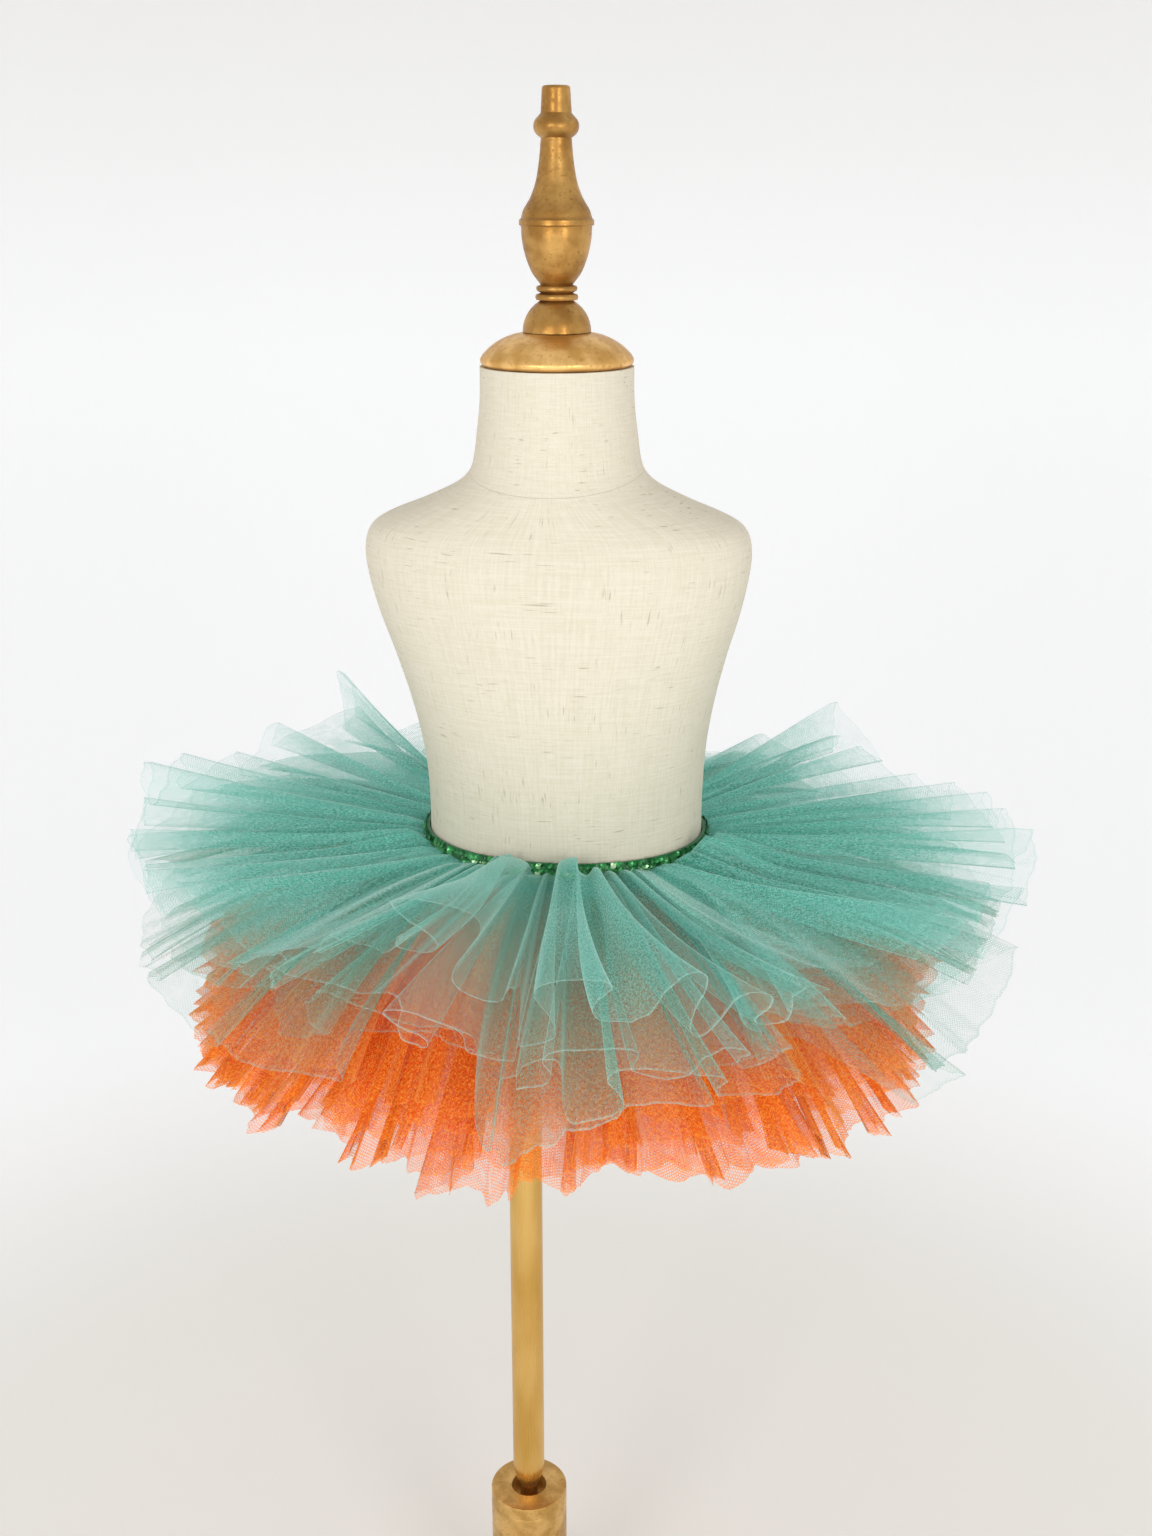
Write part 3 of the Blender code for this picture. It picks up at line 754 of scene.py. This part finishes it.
def base_plate(material):
    """A round plate with both edges rounded."""
    r, h = BASE_RADIUS / MM, BASE_TOP / MM
    profile = np.vstack([
        [(0, h)], arc((r - 3, h - 3), 3, 90, 0, 6), arc((r - 3, 3), 3, 0, -90, 6), [(0, 0)],
    ])
    turned("turned_base_plate", profile, 0.0, 0.0, material)


def pole_collar(material):
    """A sleeve round the pole with a flange against the form."""
    top = (POLE_TOP - COLLAR_FOOT) / MM
    inner, sleeve, wide = POLE_RADIUS / MM + 0.3, POLE_RADIUS / MM + 4, COLLAR_RADIUS / MM
    profile = [
        (inner, top), (wide - 0.8, top), (wide, top - 0.8), (wide, top - 3.4), (wide - 0.6, top - 4.2),
        (sleeve, top - 6), (sleeve, 0.5), (sleeve - 0.5, 0), (inner, 0), (inner, top),
    ]
    turned("turned_pole_collar", profile, 0.0, COLLAR_FOOT, material)


def pole(material):
    """A tube that narrows by a quarter sine to its stud in the hub's cup."""
    t = np.linspace(1, 0, 14)
    stud = 6.0
    full = POLE_RADIUS / MM
    taper = np.stack([stud + (full - stud) * np.sin(np.pi / 2 * t), HUB_TOP / MM + 20 * t], axis=1)
    foot = HUB_TOP / MM - 34
    profile = np.vstack([[(0, POLE_TOP / MM), (full, POLE_TOP / MM)], taper, [(stud, foot), (0, foot)]])
    ob = turned("turned_pole", profile, 0.0, 0.0, material)


# ---------------------------------------------------------------- waistband


def band_edge(angle, grow):
    """The waistband's outline in plan at angles, moved out from the waist's section by grow."""
    return form_point(angle, 0.0 * angle, grow)[..., :2]


def sequin_band(material):
    """The elastic: a flat ring with soft edges, closed on itself."""
    columns = 240
    angle = np.linspace(0, 2 * np.pi, columns, endpoint=False)
    soft = 0.9 * MM
    section = (
        (BAND_INNER, 0.0), (BAND_OUTER - soft, 0.0), (BAND_OUTER - 0.25 * soft, -0.25 * soft),
        (BAND_OUTER, -soft), (BAND_OUTER, -0.5 * BAND_HEIGHT), (BAND_OUTER, soft - BAND_HEIGHT),
        (BAND_OUTER - soft, -BAND_HEIGHT), (BAND_INNER, -BAND_HEIGHT), (BAND_INNER, 0.0),
    )
    rings = []
    for grow, drop in section:
        plan = band_edge(angle, grow)
        rings.append(np.concatenate([plan, np.full((columns, 1), WAIST_HEIGHT + drop)], axis=1))
    grid = np.stack(rings)
    u = np.linspace(0, ROUND_WAIST, columns + 1)[None, :] + np.zeros((len(section), 1))
    v = np.linspace(0, ROUND_SECTION, len(section))[:, None] + np.zeros((1, columns + 1))
    ob = add_grid("elastic_band", grid, material, np.stack([u, v], axis=-1), weld=True, sharp=60)
    finish_piece(ob, "green_sequins", "waistband")


def sequins(material):
    """Overlapping rows of small cupped discs on the band, each with its own tilt and tone."""
    rng = np.random.default_rng(5)
    count = int(ROUND_WAIST / SEQUIN_SPACING)
    row, place = np.meshgrid(np.arange(SEQUIN_ROWS), np.arange(count), indexing="ij")
    angle = (2 * np.pi * (place + 0.5 * (row % 2) + rng.uniform(-0.16, 0.16, row.shape)) / count).ravel()
    drop = (SEQUIN_STAND_OFF + row * SEQUIN_ROW_STEP + rng.uniform(-0.5, 0.5, row.shape) * MM).ravel()
    outer = BAND_OUTER + SEQUIN_STAND_OFF + rng.uniform(0, 0.6, angle.shape) * MM
    plan = band_edge(angle, outer)
    ahead = band_edge(angle + 0.01, outer) - plan
    ahead /= np.linalg.norm(ahead, axis=1)[:, None]
    tangent = np.concatenate([ahead, np.zeros((len(angle), 1))], axis=1)
    outward = np.stack([ahead[:, 1], -ahead[:, 0], 0 * angle], axis=1)
    up = np.array([0.0, 0.0, 1.0])[None] + outward * rng.normal(-0.30, 0.16, (len(angle), 1))
    across = tangent + outward * rng.normal(0, 0.20, (len(angle), 1))
    up /= np.linalg.norm(up, axis=1)[:, None]
    across /= np.linalg.norm(across, axis=1)[:, None]
    facing = np.cross(across, up)
    centre = np.concatenate([plan, (WAIST_HEIGHT - drop)[:, None]], axis=1)
    turn = np.linspace(0, 2 * np.pi, SEQUIN_SIDES, endpoint=False)
    size = SEQUIN_RADIUS * rng.uniform(0.92, 1.05, (len(angle), 1, 1))
    rim = centre[:, None] + size * (
        across[:, None] * np.cos(turn)[None, :, None] + up[:, None] * np.sin(turn)[None, :, None]
    )
    hollow = centre - facing * SEQUIN_CUP
    points = np.concatenate([hollow[:, None], rim], axis=1)
    first = (np.arange(len(angle)) * (SEQUIN_SIDES + 1))[:, None]
    k = np.arange(SEQUIN_SIDES)[None, :]
    faces = np.stack([first + 0 * k, first + 1 + k, first + 1 + (k + 1) % SEQUIN_SIDES], axis=-1)
    mesh = bpy.data.meshes.new("sequins")
    mesh.from_pydata(points.reshape(-1, 3), [], faces.reshape(-1, 3))
    # Each sequin's tone: its depth of green, and at the top of the range a painted glint
    tone = np.repeat(rng.uniform(0, 1, len(angle)), SEQUIN_SIDES + 1)
    mesh.attributes.new("tone", "FLOAT", "POINT").data.foreach_set("value", tone.astype(np.float32))
    mesh.materials.append(material)
    ob = bpy.data.objects.new("sequins", mesh)
    bpy.context.scene.collection.objects.link(ob)
    finish_piece(ob, "green_sequins", "waistband")


# ---------------------------------------------------------------- tulle


def around(frill, kind, angle):
    """A frill's reach or rise at each azimuth, blended between front, right, back and left."""
    c, s = np.cos(angle), np.sin(angle)
    sides = ("front", "right", "back", "left")
    front, right, back, left = (getattr(frill, f"{kind}_{side}") for side in sides)
    return (np.where(s < 0, front, back) * s**2 + np.where(c > 0, right, left) * c**2) * MM


def large_folds(angle, folds=FOLDS):
    """The largest folds' height: a smooth hump about each one's azimuth."""
    height = np.zeros_like(angle)
    for fold in folds:
        off = (np.degrees(angle) - fold.azimuth + 180) % 360 - 180
        height += fold.height * MM * np.exp(-((off / fold.half_width) ** 2))
    return height


def band_folds(angle, run):
    """The top frill's rise over the band: a fold's hump, times its growth and its smooth end."""
    rising = np.clip(run / BAND_FOLD_FROM, 0, 1)
    falling = np.clip((BAND_FOLD_TO - run) / (BAND_FOLD_TO - BAND_FOLD_FROM), 0, 1)
    return large_folds(angle, BAND_FOLDS) * rising * smooth_step(falling)


def flute_table(frill):
    """One row for each flute round a frill, with Flute's columns, and the azimuth of the first.

    Where a teal frill shows most it is listed flute by flute; elsewhere values are drawn about its own.
    """
    rng = np.random.default_rng(frill.seed)
    hand = HAND_FLUTES.get(frill.name, np.zeros((0, len(Flute._fields))))
    left_over = 360 - hand[:, 0].sum()
    count = int(round(frill.flutes * left_over / 360))
    width = rng.uniform(0.5, 1.6, count)
    drawn = np.stack([
        width * left_over / width.sum(),
        frill.height * rng.uniform(0.5, 1.6, count),
        frill.height * rng.uniform(0.1, 0.6, count),
        rng.uniform(0.0, 0.08, count),
        frill.over * rng.uniform(0.3, 1.1, count) * rng.choice([-1, 1], count),
        rng.uniform(-0.08, 0.05, count),
        frill.stagger * rng.uniform(-1, 1, count),
        rng.uniform(0.0, 0.5, count),
        rng.uniform(-4, 4, count),
        np.ones(count),
    ], axis=1)
    start = HAND_FROM[frill.name] if len(hand) else rng.uniform(0, 360)
    return np.vstack([hand, drawn]), start


def wobble(rng, angle, share, size, waves):
    """A gentle unevenness: a few sine waves round the skirt, each drifting along the cloth."""
    total = 0.0 * angle
    for k in waves:
        total = total + np.sin(k * angle + rng.uniform(0, 6.28) + share * rng.uniform(-3, 3)) * size
    return total


def smoothed(values, reach):
    """Numbers round the skirt, each made the mean of its neighbours within reach."""
    kernel = np.ones(2 * reach + 1) / (2 * reach + 1)
    padded = np.concatenate([values[..., -reach:], values, values[..., :reach]], axis=-1)
    return np.apply_along_axis(lambda row: np.convolve(row, kernel, "valid"), -1, padded)


def fold_wave(t, round_share):
    """0 at a flute's edges and 1 at its crest: a pleat's straight sides or a flute's round ones."""
    sharp = 0.985
    pleat = 0.5 - np.arcsin(sharp * np.cos(2 * np.pi * t)) / (2 * math.asin(sharp))
    flute = (1 - np.cos(2 * np.pi * t)) / 2
    return pleat + (flute - pleat) * round_share


def net_values(frill, rng, share, centre_line, gather, flat, wave):
    """How the net looks at each point of a frill, as named numbers.

    layers is how many layers of net lie there: the gathers' own, more in narrow pleats, fewer
    towards the hem where strips end, and uneven from one gather to the next. rim is 1 along the
    cut edge. tone is how pale the net is made, from 0 to 1: the frill's own, uneven from one gather
    to the next, paler towards the hem, and on round flutes paler on the crests than in the troughs,
    a painted light and shade.
    """
    columns = centre_line.shape[1]
    rim = np.clip((share - RIM_FROM) / (1 - RIM_FROM), 0, 1) * (1.2 - flat)
    pleats = smoothed(rng.random(columns) < PLEAT_SHARE, 1) * 3
    streak = smoothed(rng.normal(0, 1, columns), 1) + 0.8 * smoothed(rng.normal(0, 1, columns), 5)
    streak = streak[None, :] * (0.35 + 0.65 * (1 - share))
    streak = streak + wobble(rng, centre_line, share * 3, 0.3, (17, 29))
    ending = np.clip((share - THIN_FROM) / (1 - THIN_FROM), 0, 1)
    layers = gather * (1 + flat * (0.45 * pleats + 0.12 * streak))
    layers = layers * np.maximum(1 + GRAIN * flat * rng.normal(0, 1, layers.shape), 0.05)
    thinned = THIN_SHARES[frill.name.split("_")[0]] * np.clip(flat, 0.2, 1)
    layers = layers * (1 - thinned * smooth_step(ending))
    # Round flutes: paler on their crests than in their troughs, a painted light and shade
    painted_crest_light_and_trough_shade = (1 - flat) * (0.35 + 0.4 * (wave - 0.5)) * share
    tone = np.clip(frill.tone + 0.35 * flat * streak + 0.22 * ending * flat + painted_crest_light_and_trough_shade, 0, 1)
    return {"layers": layers, "rim": rim, "tone": tone}


def tulle_frill(frill, material):
    """One gathered strip of tulle.

    Along the strip, flute after flute: within a flute at t from 0 to 1 the cloth goes round by
    width * (t + swing * sin(4 pi t) + over * wave(t)), so that its sides fold under its crest,
    and stands off the frill's own slope by (height + trough) * wave(t) - trough. Both grow from
    the seam to the hem. The frill's slope falls from the seam by rise * share ** curl.
    """
    rng = np.random.default_rng(frill.seed + 100)
    table, start = flute_table(frill)
    count = len(table)
    colour = frill.name.split("_")[0]
    phase = np.linspace(0, count, count * FLUTE_COLUMNS[colour], endpoint=False)[None, :]
    index = np.floor(phase).astype(int)
    t = phase - index
    flute = Flute(*table[index].transpose(2, 0, 1))
    following = Flute(*table[(index + 1) % count].transpose(2, 0, 1))
    ease = smooth_step(t)
    late = smooth_step(np.clip((t - LATE_FROM) / (1 - LATE_FROM), 0, 1))

    def blended(column, share):
        """A flute's value on its way to the next flute's."""
        own, next_one = getattr(flute, column), getattr(following, column)
        return own + (next_one - own) * share

    trough = blended("trough", ease) * MM
    longer = blended("reach", late)
    raised = blended("raised", late) * MM
    drift = blended("drift", ease)
    close = blended("close", ease)
    flat = 1 - blended("round", ease)
    edges = start + np.concatenate([[0], np.cumsum(table[:, 0])])[index]
    wave = fold_wave(t, flute.round)
    strength = rng.uniform(0.1, 1.3, count * RIPPLES)[np.floor(phase * RIPPLES).astype(int)]
    ripple = fold_wave((phase * RIPPLES) % 1, 0.3) * strength * flat

    share = np.sort(np.append(np.linspace(0, 1, FRILL_ROWS - 1) ** 0.92, RIM_FROM))[:, None]
    grown = 0.35 + 0.65 * share**0.8
    centre_line = np.radians(edges + flute.width * t)
    pleated = flute.over * wave + RIPPLE_OVER / RIPPLES * ripple
    swung = np.radians(flute.width * (flute.swing * np.sin(4 * np.pi * t) + pleated) + drift * share)
    twist = np.radians(wobble(rng, centre_line, share, 0.8, (3, 5, 8))) * share
    angle = centre_line + swung * grown + twist

    plan = band_edge(angle, BAND_OUTER + GAP)
    ahead = band_edge(angle + 0.004, BAND_OUTER + GAP) - band_edge(angle - 0.004, BAND_OUTER + GAP)
    ahead /= np.linalg.norm(ahead, axis=-1)[..., None]
    outward = np.stack([ahead[..., 1], -ahead[..., 0]], axis=-1)

    teeth = smoothed(rng.normal(0, 1, phase.shape[1]), 1)
    uneven = wobble(rng, centre_line, share, 0.35, (23, 41, 67, 113, 157)) + teeth * share**4
    ragged = frill.ragged * MM * uneven
    reach = around(frill, "reach", angle) * (1 + longer) + ragged
    rise = around(frill, "rise", angle)
    run = SEAM_LEDGE + (reach - SEAM_LEDGE) * share
    run[0] = 0.0
    free = np.clip(run / FULL_DEPTH, 0, 1)
    level = -frill.seam * MM + rise * share**frill.curl + (large_folds(centre_line) + raised) * free**1.3
    slope = rise * frill.curl * share ** (frill.curl - 1) / reach
    crest = (flute.height * MM + trough) * wave - trough
    at_seam = np.minimum(SEAM_SHARE, SEAM_LIFT / (np.abs(crest) + 0.1 * MM))
    lift = crest * (at_seam + (1 - at_seam) * free**0.85) + RIPPLE_HEIGHT * ripple * free**0.5
    lift += wobble(rng, centre_line, share, 0.6 * MM, (11, 19, 31)) * free
    if frill is FRILLS[0]:
        lift += band_folds(centre_line, run)
    lift[0] *= 0.5
    steep = np.sqrt(1 + slope**2)
    out = run - lift * slope / steep
    grid = np.concatenate(
        [plan + outward * out[..., None], (WAIST_HEIGHT + level + lift / steep)[..., None]], axis=-1
    )

    across = np.linalg.norm(np.roll(grid, -1, axis=1) - grid, axis=-1)
    along_strip = np.concatenate([[0], np.cumsum(across[-1])])
    gather = smoothed(np.clip(across[-1] / np.maximum(across, 0.05 * MM), 0.7, 5), 4) * close
    down = np.concatenate([[0], np.cumsum(np.linalg.norm(np.diff(grid, axis=0), axis=-1).mean(axis=1))])
    uv = np.stack(np.broadcast_arrays(along_strip[None, :], down[:, None]), axis=-1)
    values = net_values(frill, rng, share, centre_line, gather, flat, wave)
    ob = add_grid(frill.name, grid, material, uv, values=values)
    finish_piece(ob, f"{colour}_tulle", frill.stands_for)


# ---------------------------------------------------------------- studio


def studio():
    """A round pale sweep, two large soft boxes at the front, a bright sky and the camera."""
    f = Finish("pale_paper", Roughness=0.9, Specular_IOR_Level=0.1, Emission_Strength=SWEEP_GLOW)
    place = f.add("ShaderNodeTexCoord", output="Object")
    distance = f.add("ShaderNodeVectorMath", {"operation": "LENGTH"}, {0: place}, "Value")
    back = distance.ramp(0.5, 1.2)
    top = distance.ramp(2.9, 3.7)
    colour = f.mix(top, f.mix(back, (0.85, 0.83, 0.785), (0.95, 0.955, 0.965)), (0.86, 0.85, 0.835))
    glow = f.mix(top, f.mix(back, (0.5, 0.5, 0.48), (1.0, 1.0, 1.0)), (0.5, 0.5, 0.49))
    f.done(Base_Color=colour, Emission_Color=glow)
    profile = np.vstack([[(0, 0)], [(1600, 0)], arc((1600, 1500), 1500, -90, 0, 16), [(3100, 2400)]]) * MM
    angle = np.linspace(0, 2 * np.pi, TURN_COLUMNS, endpoint=False)
    radius, height = profile[:, :1], profile[:, 1:]
    grid = np.stack([radius * np.cos(angle), radius * np.sin(angle), height + 0 * angle], axis=-1)
    add_grid("studio_sweep", grid[::-1], f.material, weld=True)

    for name, side in (("left_box", -1), ("right_box", 1)):
        light = bpy.data.lights.new(name, "AREA")
        light.shape = "RECTANGLE"
        light.size, light.size_y = BOX_SIZE
        light.energy = BOX_WATTS
        ob = bpy.data.objects.new(name, light)
        bpy.context.scene.collection.objects.link(ob)
        place = np.array([LIT_SPOT[0] + side * BOX_SIDE, *BOX_PLACE])
        aim = np.array(LIT_SPOT) - place
        ob.location = place
        ob.rotation_euler = (
            math.acos(-aim[2] / np.linalg.norm(aim)), 0, math.atan2(aim[1], aim[0]) - math.pi / 2
        )
    world = bpy.data.worlds.new("bright_room")
    world.use_nodes = True
    world.node_tree.nodes["Background"].inputs["Color"].default_value = (1, 1, 1, 1)
    world.node_tree.nodes["Background"].inputs["Strength"].default_value = ROOM_GLOW
    bpy.context.scene.world = world

    camera = bpy.data.cameras.new("camera")
    camera.sensor_fit = "VERTICAL"
    camera.sensor_height = SENSOR
    camera.lens = SENSOR * FOCAL_PIXELS / PICTURE_HEIGHT
    ob = bpy.data.objects.new("camera", camera)
    ob.location = CAMERA_PLACE
    ob.rotation_euler = (math.pi / 2 - CAMERA_TILT, 0, 0)
    bpy.context.scene.collection.objects.link(ob)
    bpy.context.scene.camera = ob

    scene = bpy.context.scene
    scene.view_settings.view_transform = "Standard"
    scene.cycles.transparent_max_bounces = 24
    scene.cycles.max_bounces = 4
    scene.cycles.diffuse_bounces = 2
    scene.cycles.glossy_bounces = 2


def main():
    studio()
    dress_form(linen())
    # The finial's coat is darker, a painted shade, and the cap's brighter, a painted highlight
    finial(painted_gold("deep_gold_paint"))
    neck_cap(painted_gold("bright_gold_paint"))
    stand_gold = painted_gold("antique_gold_paint")
    for piece in (hub, base_plate, pole_collar):
        piece(stand_gold)
    pole(brushed_gold())
    sequin_band(band_cloth())
    sequins(sequin_foil())
    nets = {key: tulle(net) for key, net in NETS.items()}
    for frill in FRILLS:
        tulle_frill(frill, nets[frill.net])


main()
